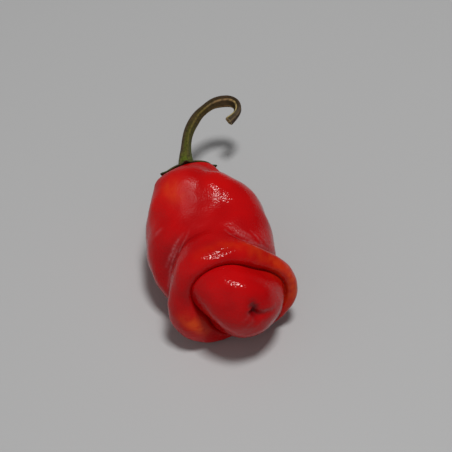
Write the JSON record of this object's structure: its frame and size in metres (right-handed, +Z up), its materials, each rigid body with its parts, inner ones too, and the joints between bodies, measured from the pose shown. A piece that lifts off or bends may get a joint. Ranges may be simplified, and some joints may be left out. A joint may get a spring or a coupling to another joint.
{
  "type": "chilli pepper",
  "caption": "Ripe red bonnet chilli pepper lying on its side, with a flared rim, a dimpled blossom end and a hooked stem.",
  "frame": {"origin": "on the surface that the pepper lies on, under the middle of its outline seen from above", "axes": "+Z up, +Y from the pod towards the stem, +X to the right as seen in the picture"},
  "size_m": [0.0428, 0.084, 0.033],
  "materials": {
    "pod_skin": "waxy gloss, finely pebbled",
    "stem_green": "dull, ribbed lengthwise"
  },
  "bodies": {
    "root": {"pod": "pod_skin", "stem_and_calyx": "stem_green"}
  },
  "joints": []
}
